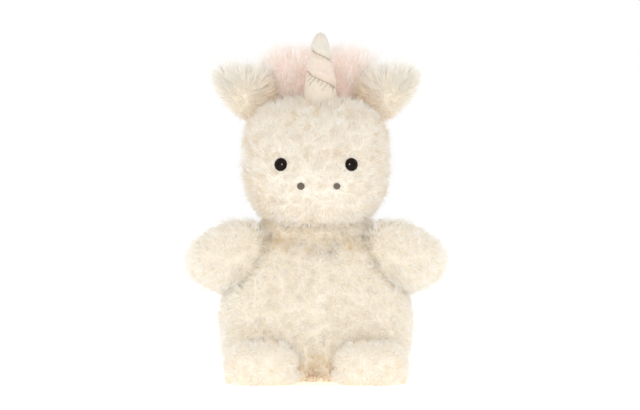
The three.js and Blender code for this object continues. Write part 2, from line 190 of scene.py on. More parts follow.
def shoulder(p):
    """The top of the arm slopes up towards the neck."""
    share = np.clip((p[:, 2] - ARM["centre"][2]) / ARM["up"], 0, 1)
    out = p.copy()
    out[:, 2] += ARM_SHOULDER * share * (ARM["centre"][0] - p[:, 0])
    return out


def in_torso(points, grow=0.0):
    """Which points lie inside the body, taken as a rounded box with a waist."""
    q = points - np.array(TORSO["centre"])
    q[:, :2] /= waist(points[:, 2])
    return (np.abs(q / (half_sizes(q, TORSO) + grow)) ** TORSO["power"]).sum(1) < 1


def lumpy(points, centre, amount, size, seed):
    """The same points moved in and out a little, as stuffing pushes cloth about."""
    rng = np.random.default_rng(seed)
    out = np.zeros(len(points))
    for _ in range(7):
        wave = rng.normal(size=3)
        wave *= 2 * math.pi / (size * rng.uniform(0.7, 1.6) * np.linalg.norm(wave))
        out += np.sin(points @ wave + rng.uniform(0, 6.28))
    away = points - np.array(centre)
    away /= np.linalg.norm(away, axis=1)[:, None]
    moved = points + away * (amount * out / 7)[:, None]
    moved[:, 2] = np.where(points[:, 2] <= FLOOR + 0.01, points[:, 2], moved[:, 2])
    moved[:, 2] = np.maximum(moved[:, 2], FLOOR)
    return moved


# ---- Cutting and joining ----
def cut(points, faces, *planes):
    """Keeps the part of a surface on the wanted side of each plane: (axis, place, direction)."""
    bm = bmesh.new()
    corners = [bm.verts.new(p) for p in points]
    for f in faces:
        bm.faces.new([corners[i] for i in f])
    for axis, place, direction in planes:
        normal = Vector((0, 0, 0))
        normal[axis] = -direction
        at = Vector((0, 0, 0))
        at[axis] = place
        everything = bm.verts[:] + bm.edges[:] + bm.faces[:]
        cut_at = dict(plane_co=at, plane_no=normal, clear_outer=True, dist=1e-4)
        bmesh.ops.bisect_plane(bm, geom=everything, **cut_at)
    return taken(bm)


def taken(bm):
    """The corners and triangles of a bmesh, which is then freed."""
    bmesh.ops.triangulate(bm, faces=bm.faces[:])
    bm.verts.index_update()
    points = np.array([v.co for v in bm.verts])
    faces = np.array([[v.index for v in f.verts] for f in bm.faces])
    bm.free()
    return points, faces


def normals_of(points, faces):
    a, b, c = (points[faces[:, k]] for k in range(3))
    each = np.cross(b - a, c - a)
    total = np.zeros_like(points)
    for k in range(3):
        np.add.at(total, faces[:, k], each)
    return total / np.maximum(np.linalg.norm(total, axis=1), 1e-9)[:, None]


def shell(points, faces, thick):
    """A closed sheet: the surface, a copy of it thick further in, and a rim between them."""
    inner = points - normals_of(points, faces) * thick
    inner[:, 2] = np.maximum(inner[:, 2], FLOOR)
    n = len(points)
    edges = dict.fromkeys((f[k], f[(k + 1) % 3]) for f in faces for k in range(3))
    open_edges = [(a, b) for a, b in edges if (b, a) not in edges]
    rim = [(b, a, a + n) for a, b in open_edges] + [(b, a + n, b + n) for a, b in open_edges]
    parts = [faces, faces[:, ::-1] + n]
    if rim:
        parts.append(np.array(rim))
    return np.concatenate([points, inner]), np.concatenate(parts)


def build(name, parts, materials, smooth=True):
    """One object from several (points, faces, slot, attributes) parts. Faces are index rows.
    Pile, in slot 1, stays flat shaded: three corners are too few to smooth without going grey."""
    mesh = bpy.data.meshes.new(name)
    corners = np.concatenate([p for p, _, _, _ in parts])
    loops, starts, slots, at, base = [], [], [], 0, 0
    values = {"tip": np.zeros(len(corners)), "shade": np.full(len(corners), 0.5)}
    for points, groups, slot, extra in parts:
        for rows in groups if isinstance(groups, list) else [groups]:
            loops.append((rows + base).reshape(-1))
            starts.append(at + np.arange(len(rows)) * rows.shape[1])
            slots.append(np.full(len(rows), slot))
            at += rows.size
        for key, value in (extra or {}).items():
            values[key][base : base + len(points)] = value
        base += len(points)
    loops, starts, slots = (np.concatenate(v).astype(np.int32) for v in (loops, starts, slots))
    mesh.vertices.add(len(corners))
    mesh.vertices.foreach_set("co", (corners * MM).reshape(-1).astype(np.float32))
    mesh.loops.add(len(loops))
    mesh.loops.foreach_set("vertex_index", loops)
    mesh.polygons.add(len(starts))
    mesh.polygons.foreach_set("loop_start", starts)
    for material in materials:
        mesh.materials.append(material)
    mesh.polygons.foreach_set("material_index", slots)
    mesh.polygons.foreach_set("use_smooth", (slots == 0) & smooth)
    mesh.update(calc_edges=True)
    for key, value in values.items():
        mesh.attributes.new(key, "FLOAT", "POINT").data.foreach_set("value", value)
    made = bpy.data.objects.new(name, mesh)
    bpy.context.scene.collection.objects.link(made)
    return made


def mirror(parts):
    """The same parts on the toy's other side."""
    flipped = []
    for points, groups, slot, extra in parts:
        rows = groups if isinstance(groups, list) else [groups]
        turned = [r[:, ::-1] for r in rows]
        flipped.append((points * np.array([-1, 1, 1]), turned, slot, extra))
    return flipped


# ---- Pile ----
def scatter(points, faces, density, rng):
    """Root points spread evenly over a surface, with their normals."""
    a, b, c = (points[faces[:, k]] for k in range(3))
    area = np.linalg.norm(np.cross(b - a, c - a), axis=1) / 2
    count = int(area.sum() * density)
    pick = rng.choice(len(faces), count, p=area / area.sum())
    u, v = rng.random(count), rng.random(count)
    over = u + v > 1
    u[over], v[over] = 1 - u[over], 1 - v[over]
    share = np.stack([1 - u - v, u, v], 1)[:, :, None]
    n = normals_of(points, faces)
    roots = (points[faces[pick]] * share).sum(1)
    up = (n[faces[pick]] * share).sum(1)
    return roots, up / np.linalg.norm(up, axis=1)[:, None]


def nearest(points, targets):
    """For each point, the index of the closest target."""
    tree = KDTree(len(targets))
    for i, t in enumerate(targets):
        tree.insert(t, i)
    tree.balance()
    return np.array([tree.find(p)[1] for p in points])


def across(v, n):
    """The part of v that lies along the surface."""
    return v - n * (v * n).sum(1)[:, None]


def unit(v):
    return v / np.maximum(np.linalg.norm(v, axis=-1), 1e-9)[..., None]


RINGS = 2  # rings of three corners in each thread of pile, before its tip
STRAYS = 0.12  # share of threads that are longer and finer than their tuft
THIRDS = (0, 2.0944, 4.1888)  # directions of a thread's three corners


def strands(roots, up, pile, seed, comb, size):
    """Curled, tapered threads of pile, gathered into tufts. Each is a closed three-sided tube.
    comb is the way that each one leans, and size how long it is, as a share."""
    rng = np.random.default_rng(seed)
    n = len(roots)
    tufts = rng.choice(n, max(1, int(n / pile["per_tuft"])), replace=False)
    own = nearest(roots, roots[tufts])
    spin = rng.normal(size=(len(tufts), 3))[own] + 0.35 * rng.normal(size=(n, 3))
    t1 = unit(across(spin, up))
    t2 = np.cross(up, t1)
    length = pile["length"] * rng.uniform(0.75, 1.15, len(tufts))[own] * rng.uniform(0.7, 1.1, n)
    stray = rng.random(n) < STRAYS
    length = length * np.where(stray, 1.6, 1.0) * size
    lean = t1 * pile["lean"] + across(comb, up)
    sense = np.where(rng.random(len(tufts)) < 0.5, -1, 1)[own]
    phase = rng.uniform(0, 1.0, n)
    gather = across(roots[tufts][own] - roots, up)
    s = np.linspace(0, 1, RINGS + 1)
    path = np.empty((n, RINGS + 1, 3))
    for k, t in enumerate(s):
        angle = (phase + sense * pile["turns"] * 2 * math.pi * t)[:, None]
        curl = pile["curl"] * math.sqrt(t) * (length / pile["length"])[:, None]
        rise = up * (pile["proud"] * t**0.9)
        bend = lean * t**1.4
        path[:, k] = (
            roots
            + (rise + bend) * length[:, None]
            + gather * pile["clump"] * t
            + curl * ((np.cos(angle) - 1) * t1 + np.sin(angle) * t2)
        )
    path[:, :, 2] = np.maximum(path[:, :, 2], FLOOR + 0.1)
    shade = 0.72 + 0.2 * rng.normal(size=len(tufts))[own] + 0.1 * rng.normal(size=n)
    shade = np.clip(shade, 0.3, 1)
    width = pile["width"] * rng.uniform(0.75, 1.2, n) * np.where(stray, 0.7, 1.0)
    return tubes(path, width, shade, t1)


def tubes(path, width, shade, beside):
    """Three-sided closed tubes that follow each path and narrow to a point, as a part in slot 1."""
    n, count = len(path), path.shape[1]
    rings = count - 1
    along = unit(np.gradient(path, axis=1))
    a = unit(np.cross(along, beside[:, None] + 0.01))
    b = np.cross(along, a)
    s = np.arange(rings) / rings
    half = (width[:, None] / 2 * (1 - 0.65 * s**1.5)[None])[..., None]
    corner = [
        path[:, :rings] + half * (math.cos(q) * a[:, :rings] + math.sin(q) * b[:, :rings])
        for q in THIRDS
    ]
    body = np.stack(corner, 2).reshape(n, rings * 3, 3)
    points = np.concatenate([body, path[:, rings:]], 1)
    per = rings * 3 + 1
    last = 3 * (rings - 1)
    ends = [[last + k, last + (k + 1) % 3, last + 3] for k in range(3)] + [[2, 1, 0]]
    offset = (np.arange(n) * per)[:, None, None]
    faces = (ring_quads(rings, 3), np.array(ends))
    groups = [(rows + offset).reshape(-1, rows.shape[1]) for rows in faces]
    tip = np.tile(np.append(np.repeat(s, 3), 1.0), n)
    return points.reshape(-1, 3), groups, 1, {"tip": tip, "shade": np.repeat(shade, per)}


CURLY = dict(length=6.6, proud=0.6, lean=0.38, curl=1.1, turns=0.5, clump=0.5, per_tuft=26, width=0.3)
FACE = dict(CURLY, length=5.2, lean=0.4, curl=0.8, clump=0.4, per_tuft=30, width=0.27)
FLUFFY = dict(length=9, proud=0.7, lean=0.3, curl=1.1, turns=0.3, clump=0.2, per_tuft=20, width=0.26)
NECK_PILE = dict(CURLY, length=7, lean=0.5)
EAR_FRINGE = 1300  # threads of pile round the edge of each ear panel
EAR_PILE = dict(CURLY, length=6.6, proud=0.5, lean=0.35, curl=0.7, clump=0.3, width=0.24)
DENSITY = 1.85  # threads on each square millimetre


# ---- Materials ----
BLACK = (0, 0, 0)
WHITE = (255, 255, 255)
CREASE_SHADOW_COLOUR = (190, 152, 108)  # painted shadow, deepest between the legs


def srgb(r, g, b):
    """A colour from its 0-255 screen values."""
    return tuple(((v / 255 + 0.055) / 1.055) ** 2.4 if v > 10 else v / 3295 for v in (r, g, b)) + (1,)


def feed(made, **values):
    """Sets a node's settings and inputs, or links the outputs that feed them."""
    for key, value in values.items():
        socket_name = key.replace("_", " ")
        if socket_name not in made.inputs:
            setattr(made, key, value)
        elif isinstance(value, bpy.types.NodeSocket):
            made.id_data.links.new(value, made.inputs[socket_name])
        else:
            made.inputs[socket_name].default_value = value
    return made


def node(tree, kind, **values):
    return feed(tree.nodes.new("ShaderNode" + kind), **values)


def material(name, roughness=0.85, **sockets):
    made = bpy.data.materials.new(name)
    made.use_nodes = True
    shader = made.node_tree.nodes["Principled BSDF"]
    feed(shader, Roughness=roughness, **sockets)
    return made, made.node_tree, shader


def ramp(tree, factor, low, high, start=0.3, end=0.7):
    made = node(tree, "ValToRGB", Fac=factor)
    for stop, colour, position in zip(made.color_ramp.elements, (low, high), (start, end)):
        stop.color = srgb(*colour)
        stop.position = position
    return made.outputs["Color"]


def mixed(tree, factor, a, b):
    return node(tree, "Mix", data_type="RGBA", Factor=factor, A=a, B=b).outputs["Result"]


def flat(tree, colour):
    made = node(tree, "RGB")
    made.outputs[0].default_value = srgb(*colour)
    return made.outputs[0]


def place(tree):
    return node(tree, "TexCoord").outputs["Object"]


def noise(tree, scale, detail=2.0):
    return node(tree, "TexNoise", Scale=scale, Detail=detail, Vector=place(tree)).outputs["Fac"]


def bands(tree, scale, distortion, direction):
    made = node(tree, "TexWave", Scale=scale, Distortion=distortion, bands_direction=direction)
    return feed(made, Vector=place(tree)).outputs["Fac"]


def attribute(tree, name):
    return node(tree, "Attribute", attribute_name=name).outputs["Fac"]


def way_from(tree, value, low, high):
    """How far a value is on its way from low to high, between 0 and 1."""
    return node(tree, "MapRange", Value=value, From_Min=low, From_Max=high).outputs["Result"]


def bump(shader, height, strength, distance):
    made = node(shader.id_data, "Bump", Strength=strength, Distance=distance, Height=height)
    feed(shader, Normal=made.outputs["Normal"])


def pile_material(name, tips, roots, patches, painted_shade):
    """Pile with slightly uneven dye from tuft to tuft, and painted shade. Its roots are a little
    darker and warmer: painted shade deep in the pile. Where its shade attribute falls below 0.3
    it takes the painted shade colour, and well below 0 the brown painted shadow; above 0.3 it
    runs by patches to tips at 1."""
    made, tree, shader = material(name, Sheen_Weight=0.2, Sheen_Roughness=0.5)
    shade = attribute(tree, "shade")
    even = ramp(tree, shade, patches, tips, 0.3, 0.9)
    deep = ramp(tree, shade, WHITE, BLACK, 0.0, 0.3)
    # Painted shadow: a brown colour where the shade attribute falls well below 0, between the legs.
    crease_shadow = way_from(tree, shade, -0.3, -0.9)
    low = mixed(tree, crease_shadow, flat(tree, painted_shade), flat(tree, CREASE_SHADOW_COLOUR))
    tuft = mixed(tree, deep, even, low)
    cloudy = mixed(tree, noise(tree, 90), tuft, mixed(tree, noise(tree, 300), tuft, flat(tree, patches)))
    # Painted shade: the roots darker and warmer than the tips.
    grown = way_from(tree, attribute(tree, "tip"), 0, 0.55)
    feed(shader, Base_Color=mixed(tree, grown, flat(tree, roots), cloudy))
    return made


def knit_material(name, light, dark):
    """Backing cloth: fine knitted loops under the pile."""
    made, tree, shader = material(name, 0.95, Sheen_Weight=0.2)
    loops = node(tree, "TexVoronoi", Scale=900.0, Vector=place(tree)).outputs["Distance"]
    feed(shader, Base_Color=ramp(tree, loops, light, dark, 0.1, 0.8))
    bump(shader, loops, 0.5, 0.0003)
    return made


def woven_material(name, light, dark, scale, roughness):
    """Plain weave: two crossing sets of threads."""
    made, tree, shader = material(name, roughness, Sheen_Weight=0.1)
    both = node(tree, "Math", operation="MULTIPLY")
    for i, direction in enumerate(("X", "Z")):
        tree.links.new(bands(tree, scale, 0.4, direction), both.inputs[i])
    feed(shader, Base_Color=ramp(tree, both.outputs[0], dark, light, 0.0, 0.5))
    bump(shader, both.outputs[0], 0.4, 0.0002)
    return made


def suede_material(name, base, middle, top):
    """Short brushed nap with painted shade in patches, where it catches less light, coloured a little
    differently up the horn.
    """
    made, tree, shader = material(name, 0.75, Sheen_Weight=0.3, Sheen_Roughness=0.4)
    part = attribute(tree, "shade")
    lower = ramp(tree, part, base, middle, 0.1, 0.4)
    segment_colour = mixed(tree, ramp(tree, part, BLACK, WHITE, 0.6, 0.9), lower, flat(tree, top))
    # Painted shade: patches of nap darker and more saturated.
    painted_nap_shade = node(tree, "HueSaturation", Saturation=1.25, Value=0.93, Color=segment_colour).outputs["Color"]
    patches = ramp(tree, noise(tree, 500, 4.0), BLACK, WHITE, 0.35, 0.75)
    feed(shader, Base_Color=mixed(tree, patches, segment_colour, painted_nap_shade))
    bump(shader, noise(tree, 3200, 3.0), 0.35, 0.00025)
    return made


def thread_material(name, light, dark, roughness=0.6):
    """Twisted sewing thread."""
    made, tree, shader = material(name, roughness, Sheen_Weight=0.2)
    twist = bands(tree, 900.0, 2.0, "DIAGONAL")
    feed(shader, Base_Color=ramp(tree, twist, dark, light, 0.2, 0.8))
    bump(shader, twist, 0.4, 0.0001)
    return made


def plastic_material(name, light, dark, roughness, **sockets):
    """Moulded plastic with faint flow marks."""
    made, tree, shader = material(name, roughness, **sockets)
    feed(shader, Base_Color=ramp(tree, noise(tree, 500, 3.0), dark, light))
    bump(shader, noise(tree, 1500), 0.05, 0.00005)
    return made


# Colours of each pile: tips, roots, patches, and the painted shade colour.
cream = pile_material("cream_pile", (251, 250, 247), (248, 242, 230), (248, 245, 239), (246, 229, 197))
# Painted shade: the head's pile is a darker, greyer copy of the cream pile.
shaded_head_cream = pile_material("head_pile", (246, 245, 243), (242, 236, 225), (243, 240, 235), (232, 220, 200))
pink = pile_material("pink_pile", (254, 252, 250), (254, 246, 240), (254, 249, 245), (253, 237, 227))
lining = pile_material("lining_pile", (251, 250, 247), (248, 242, 231), (248, 244, 236), (246, 229, 206))
knit = knit_material("backing_cloth", (249, 243, 231), (243, 234, 218))
pink_knit = knit_material("mane_backing", (252, 236, 228), (249, 226, 215))
suede = suede_material("horn_cloth", (230, 219, 202), (233, 218, 203), (226, 219, 206))
fibre = knit_material("filling_fibre", (252, 252, 250), (238, 238, 234))
calico = woven_material("bag_cloth", (244, 241, 232), (214, 208, 194), 700, 0.9)
satin = woven_material("label_cloth", (252, 252, 250), (232, 232, 230), 1400, 0.45)
seam_thread = thread_material("seam_thread", (236, 222, 196), (204, 184, 150))
horn_thread = thread_material("horn_thread", (206, 190, 172), (160, 142, 124))
nostril_thread = thread_material("nostril_thread", (132, 116, 100), (78, 62, 48), 0.7)
eye_plastic = plastic_material("eye_plastic", (34, 19, 11), (12, 6, 3), 0.1, Specular_IOR_Level=0.12)
washer_plastic = plastic_material("washer_plastic", (238, 236, 230), (222, 220, 212), 0.4)
bean_plastic = plastic_material("bean_plastic", (246, 244, 236), (226, 224, 214), 0.4)


# ---- Fur panels ----
def around(points, spots):
    """How far each point is from the nearest of some spots on the face, and the way from it."""
    spots = np.array(spots, float)
    away = points[:, None, [0, 2]] - spots[None, :, [0, 1]]
    far = np.linalg.norm(away, axis=2) - spots[None, :, 2]
    rows = np.arange(len(points))
    pick = far.argmin(1)
    x, z = away[rows, pick].T
    return far[rows, pick], unit(np.stack([x, np.zeros(len(points)), z], 1))


def skin(form, amount, lump, seed, warp, hidden):
    """The lumpy surface of a stuffed form, without the triangles that lie where hidden says."""
    points, faces = cushion(form, warp=warp)
    points = lumpy(points, form["centre"], amount, lump, seed)
    return points, faces[~hidden(points[faces].mean(1))]


def near_neck(points, radius, heights):
    """Which points are close to the axis of the neck, between two heights."""
    level = (points[:, 2] > heights[0]) & (points[:, 2] < heights[1])
    return level & (np.hypot(points[:, 0], points[:, 1]) < radius)


def neck_hole(points):
    return near_neck(points, **NECK_HOLE)


def deep_in_torso(points):
    return in_torso(points, -3)


def off_neck(roots, up):
    return ~near_neck(roots, **NECK_BARE)


def off_torso(roots, up):
    return ~in_torso(roots)


def leaning(x, y, z):
    """Pile that all leans one way."""
    return lambda roots: np.tile([x, y, z], (len(roots), 1))


def fur_parts(points, faces, pile, seed, comb, density=DENSITY, size=1.0, keep=None, thick=BACKING):
    """A panel's backing cloth and its pile. comb, size and keep are worked out from the roots."""
    roots, up = scatter(points, faces, density, np.random.default_rng(seed))
    if keep:
        wanted = keep(roots, up)
        roots, up = roots[wanted], up[wanted]
    sizes = size(roots) if callable(size) else size
    hair = strands(roots, up, pile, seed + 1, comb(roots), sizes)
    return [(*shell(points, faces, thick), 0, {"tip": 0.0}), hair]


def darken(parts, amount):
    """Paints shade into a panel's pile by lowering its shade attribute, all of it alike or corner by
    corner.
    """
    values = parts[1][3]
    values["shade"] = values["shade"] - amount


def paint_crease_shade(parts):
    """Paints shade into the pile under the chin, and a painted shadow between the legs."""
    x, _, z = parts[1][0].T
    darken(parts, 0.42 * smoothstep(z, *CREASE_SHADE_RANGES["chin"]))
    darken(parts, 1.5 * (smoothstep(-z, *CREASE_SHADE_RANGES["crotch"]) * smoothstep(-np.abs(x), *CREASE_SHADE_RANGES["thighs"])))


def panel(node_name, parts, materials, body):
    """Makes a fur panel that stands for its CAD node and moves with its body."""
    made = build(f"{node_name}_fur", parts, materials)
    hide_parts(node_name)
    if body:
        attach(made, body)
    return made


def bend(made, sign, join, ends):
    """Bakes a piece's transform into its mesh."""
    start, end = (Vector((sign * p[0], p[1], p[2])) * MM for p in ends)
    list(join)
    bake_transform(made)


def both_sides(name, parts, materials, join, ends):
    """A pair of mirrored panels, one on each side."""
    for side, sign in SIDES.items():
        own = parts if sign > 0 else mirror(parts)
        made = panel(name.format(side), own, materials, None)
        bend(made, sign, (join[0], join[1].format(side)), ends)


def torso_panels():
    surface = skin(TORSO, 0.9, 26, 3, pear, neck_hole)
    seat, side = TORSO_SEAMS
    cuts = {
        "base_panel": [(2, seat, -1)],
        "belly_panel": [(2, seat, 1), (1, side, -1)],
        "back_panel_left": [(2, seat, 1), (1, side, 1), (0, 0, 1)],
        "back_panel_right": [(2, seat, 1), (1, side, 1), (0, 0, -1)],
    }
    for i, (name, planes) in enumerate(cuts.items()):
        base = name == "base_panel"
        density = 0.8 if base else DENSITY
        size = (lambda r: np.where(r[:, 2] < seat - 0.1, 0.3, 0.8)) if base else 1.0
        piece = cut(*surface, *planes)
        parts = fur_parts(*piece, CURLY, 100 + 10 * i, leaning(0, 0, -0.15), density, size, off_neck)
        # Painted shade under the chin and painted shadow between the legs.
        paint_crease_shade(parts)
        panel(name, parts, [knit, cream], "torso")


def head_panels():
    surface = skin(HEAD, 0.7, 24, 5, face, neck_hole)
    spots = [(EYE["x"], EYE["z"], EYE["r"] - 0.6), (-EYE["x"], EYE["z"], EYE["r"])]
    spots += [(NOSTRIL["aside"] + s * NOSTRIL["x"], NOSTRIL["z"], NOSTRIL["r"]) for s in (1, -1)]

    def comb(roots):
        """Away from the eyes and nostrils, and outward and down from the nose elsewhere."""
        far, out = around(roots, spots)
        near = np.clip(1 - far / 4, 0, 1)[:, None]
        nose = roots - np.array([0, 0, NOSE])
        nose[:, 1] = 0
        return out * near * 0.55 + unit(nose) * 0.22 * (1 - near)

    def size(roots):
        """Shorter on the muzzle and round the eyes, longer on the brow and cheeks."""
        far, _ = around(roots, spots)
        muzzle = np.exp(-(((roots[:, 2] - 100) / 16) ** 2) - (roots[:, 0] / 24) ** 2)
        brow = smoothstep(roots[:, 2], *BROW)
        return (1.1 - 0.25 * muzzle + 0.25 * brow) * (0.5 + 0.5 * smoothstep(far, 0, 6))

    def keep(roots, up):
        horn = np.hypot(roots[:, 0] - HORN["x"], roots[:, 1] - HORN["y"]) < HORN["r"] - 0.8
        under_horn = horn & (roots[:, 2] > BROW[0])
        return (around(roots, spots)[0] > -0.1) & ~under_horn & off_neck(roots, up)

    cuts = {
        "face_panel": [(1, HEAD_SEAM, -1)],
        "head_back_left": [(1, HEAD_SEAM, 1), (0, 0, 1)],
        "head_back_right": [(1, HEAD_SEAM, 1), (0, 0, -1)],
    }
    for i, (name, planes) in enumerate(cuts.items()):
        piece = cut(*surface, *planes)
        if name == "face_panel":
            parts = fur_parts(*piece, FACE, 200, comb, 1.75, size, keep)
        else:
            parts = fur_parts(*piece, CURLY, 200 + 10 * i, leaning(0, 0, -0.2), keep=off_neck)
        # Painted shade: the whole head's pile is darkened below the body's.
        darken(parts, 0.45)
        if name == "face_panel":
            # Painted shade above and outside each eye.
            darken(parts, 0.3 * socket(parts[1][0]))
        panel(name, parts, [knit, shaded_head_cream], "head")


def socket(points):
    """1 just above and outside each eye, where shade is painted into the pile, and 0 away from it."""
    away = np.hypot(np.abs(points[:, 0]) - EYE["x"] - 1.5, points[:, 2] - EYE["z"] - 2)
    return np.exp(-((away / 5) ** 2))


def limb_panels(limb, surface, seam, pieces, seed, comb, size, ends, shade=0.0):
    """The two panels of both arms or of both legs: in front of the seam is direction -1."""
    for i, (piece, direction) in enumerate(pieces.items()):
        part = cut(*surface, (1, seam, direction))
        parts = fur_parts(*part, CURLY, seed + 10 * i, comb, size=size, keep=off_torso)
        darken(parts, shade)
        names = limb + "_{}_" + piece
        both_sides(names, parts, [knit, cream], ("torso", limb + "_{}"), ends)


def arm_panels():
    surface = skin(ARM, 0.7, 20, 7, shoulder, deep_in_torso)
    pieces = {"front": -1, "back": 1}
    limb_panels("arm", surface, ARM["centre"][1], pieces, 300, leaning(0.25, 0, -0.12), 1.2, ARM_JOIN)


def leg_panels():
    surface = skin(LEG, 0.6, 18, 9, None, deep_in_torso)
    pieces = {"cover": 1, "sole": -1}
    size = lambda roots: np.where(roots[:, 2] < 1, 0.4, 0.85)
    # Painted shade: the legs' pile is darkened by 0.3.
    limb_panels("leg", surface, SOLE_SEAM, pieces, 340, leaning(0, 0, -0.1), size, LEG_JOIN, 0.3)


# ---- Ears ----
def leaf(d, front, back):
    """Points of a unit sphere, d, as a cupped leaf pointing up and out, between two faces at those
    depths behind its middle."""
    r = np.minimum(np.hypot(d[:, 0], d[:, 2]), 1)
    depth = np.where(d[:, 1] < 0, front, back) * np.sqrt(np.maximum(1 - r**2, 0)) ** 0.7
    x = d[:, 0] * EAR["length"]
    z = d[:, 2] * EAR["width"] * (1 - EAR["tip"] * d[:, 0])
    z = np.where(z < 0, z * EAR["below"], z)
    y = depth + EAR["cup"] * (1 - r**2) - EAR["cup"] / 3
    c, s = EAR_OUT[0], EAR_OUT[2]
    return np.stack([x * c - z * s, y, x * s + z * c], 1) + EAR_CENTRE


def fringe(depths, outer, seed):
    """Roots and directions for pile all round a leaf's edge, on the side that it shows."""
    rng = np.random.default_rng(seed)
    angle = rng.uniform(0, 2 * math.pi, EAR_FRINGE)
    turned = outer * rng.uniform(-0.15, 0.5, EAR_FRINGE)
    ring = unit(np.stack([np.cos(angle), turned, np.sin(angle)], 1))
    roots = leaf(ring, *depths)
    away = roots - EAR_CENTRE
    away[:, 1] = EAR["length"] * turned
    return roots, unit(away)


def ear_outward(roots):
    """Away from the middle of the ear, so that the rim is fringed."""
    away = unit((roots - EAR_CENTRE) * np.array([1, 0.2, 1]))
    rim = smoothstep(np.linalg.norm(roots - EAR_CENTRE, axis=1), 1, 7)
    return away * (0.15 + 0.65 * rim[:, None]) + EAR_OUT * 0.1 + np.array([0, 0, 0.25])


def ear_size(roots):
    """Longer on the upper edge than on the lower one."""
    above = (roots - EAR_CENTRE) @ np.array([-EAR_OUT[2], 0, EAR_OUT[0]])
    return 0.75 + 0.7 * smoothstep(above, -4, 11)


def ear_panels():
    ball, faces = sphere(5)
    sides = (("back", (0.3, 4), 1, cream, "cream_fur"), ("lining", (-2.6, -0.3), -1, lining, "lining_fur"))
    for i, (piece, depths, outer, stuff, slot) in enumerate(sides):
        points = leaf(ball, *depths)
        shown = lambda roots, up, k=outer: up[:, 1] * k > -0.35
        seed = 400 + 10 * i
        parts = fur_parts(points, faces, EAR_PILE, seed, ear_outward, 4.0, ear_size, shown, EAR_BACKING)
        roots, up = fringe(depths, outer, 440 + i)
        parts.append(strands(roots, up, EAR_PILE, 450 + i, ear_outward(roots), ear_size(roots)))
        # Painted shade: the lining's pile turns to the painted shade colour towards the head, inside the
        # ear's cup.
        if piece == "lining":
            for corners, _, _, values in parts[1:]:
                along = (corners - EAR_CENTRE) @ EAR_OUT
                values["shade"] = values["shade"] * smoothstep(along, -14, 6)
        name = "ear_{}_" + piece
        both_sides(name, parts, [knit, stuff], ("head", "ear_{}"), EAR_JOIN)


# ---- Mane and tail ----
def flare(p):
    """The forelock spreads towards its top, and its top corners stand up."""
    rise = smoothstep(p[:, 2], FORELOCK["centre"][2], FORELOCK["centre"][2] + FORELOCK["up"])
    aside = p[:, 0] - FORELOCK["centre"][0]
    corner = smoothstep(np.abs(aside), 6, FORELOCK["side"])
    out = p.copy()
    out[:, 0] += MANE_FLARE["aside"] * rise * aside / FORELOCK["side"]
    out[:, 2] += MANE_FLARE["up"] * rise * corner
    return out


def mane():
    points, faces = cushion(FORELOCK, 4, 1.5, warp=flare)
    points = lumpy(points, FORELOCK["centre"], 1.2, 14, 11)
    top = cut(points, faces, (2, FORELOCK_FOOT, 1))
    ridge = cut(*cushion(CREST, 5), (1, FORELOCK["centre"][1], 1), (2, CREST_FOOT, 1))

    def upward(roots):
        """Up and a little outward at the top, and down along the crest."""
        out = unit((roots - np.array([1, 8, 120])) * np.array([0.3, 0.3, 1.0]))
        crest = smoothstep(roots[:, 1], 20, 30)[:, None]
        return out * 0.75 * (1 - crest) + np.array([0, 0.1, -0.5]) * crest

    def size(roots):
        """Short behind the horn, which leans back against it."""
        beside = smoothstep(np.abs(roots[:, 0] - HORN["x"]), 7, 13)
        behind = smoothstep(roots[:, 1], 3, 8)
        return (0.4 + 0.6 * np.maximum(beside, behind)) * (0.7 + 0.3 * smoothstep(roots[:, 2], 150, 162))

    parts = fur_parts(*top, FLUFFY, 500, upward, 1.9, size)
    parts += fur_parts(*ridge, FLUFFY, 520, upward, 1.8)
    panel("mane", parts, [pink_knit, pink], "head")


def tail():
    parts = fur_parts(*cushion(TAIL, 4), FLUFFY, 560, leaning(0, 0.25, -0.35), 1.2, 0.75)
    made = panel("tail", parts, [pink_knit, pink], None)
    bend(made, 1, ("torso", "tail"), TAIL_JOIN)


# ---- Turned and drawn shapes ----
def face_at(x, z):
    """The point of the face at x and z, and the direction it looks in."""

    def depth(px, pz):
        dz = pz - HEAD["centre"][2]
        tall = HEAD["up"] if dz > 0 else HEAD["down"]
        share = abs(px / HEAD["side"]) ** HEAD["power"] + abs(dz / tall) ** HEAD["power"]
        y = HEAD["centre"][1] - HEAD["front"] * (1 - share) ** (1 / HEAD["power"])
        return face(np.array([[px, y, pz]]))[0, 1]

    slope_x = depth(x + 0.5, z) - depth(x - 0.5, z)
    slope_z = depth(x, z + 0.5) - depth(x, z - 0.5)
    return np.array([x, depth(x, z), z]), unit(np.array([slope_x, -1, slope_z]))


def stood(points, seat):
    """Points made round the Z axis, stood on a surface point along its normal."""
    at, normal = seat
    turn = Vector((0, 0, 1)).rotation_difference(Vector(normal)).to_matrix()
    return points @ np.array(turn).T + at


def ring(radius, height, angle, deep=1.0):
    """Corners round the Z axis, in a circle or in one that is flatter from front to back."""
    return np.stack([radius * np.cos(angle), deep * radius * np.sin(angle), 0 * angle + height], 1)


def ring_quads(rings, sides):
    """Four-cornered faces between rings of corners that stand one above the other."""
    k = np.arange(sides)
    after = (k + 1) % sides
    one = np.stack([k, after, sides + after, sides + k], 1)
    return (one + (np.arange(rings - 1) * sides)[:, None, None]).reshape(-1, 4)


def ring_triangles(rings, sides):
    """The same faces, each cut in two."""
    quads = ring_quads(rings, sides).reshape(-1, sides, 4)
    return np.stack([quads[:, :, [0, 1, 2]], quads[:, :, [0, 2, 3]]], 1).reshape(-1, 3)


def capped(rings, sides):
    """Faces round the rings and over both ends, whose middle corners follow the rings' own."""
    k = np.arange(sides)
    after = (k + 1) % sides
    first, last = np.full(sides, rings * sides), (rings - 1) * sides
    ends = [np.stack([after, k, first], 1), np.stack([last + k, last + after, first + 1], 1)]
    return [ring_quads(rings, sides), np.concatenate(ends)]


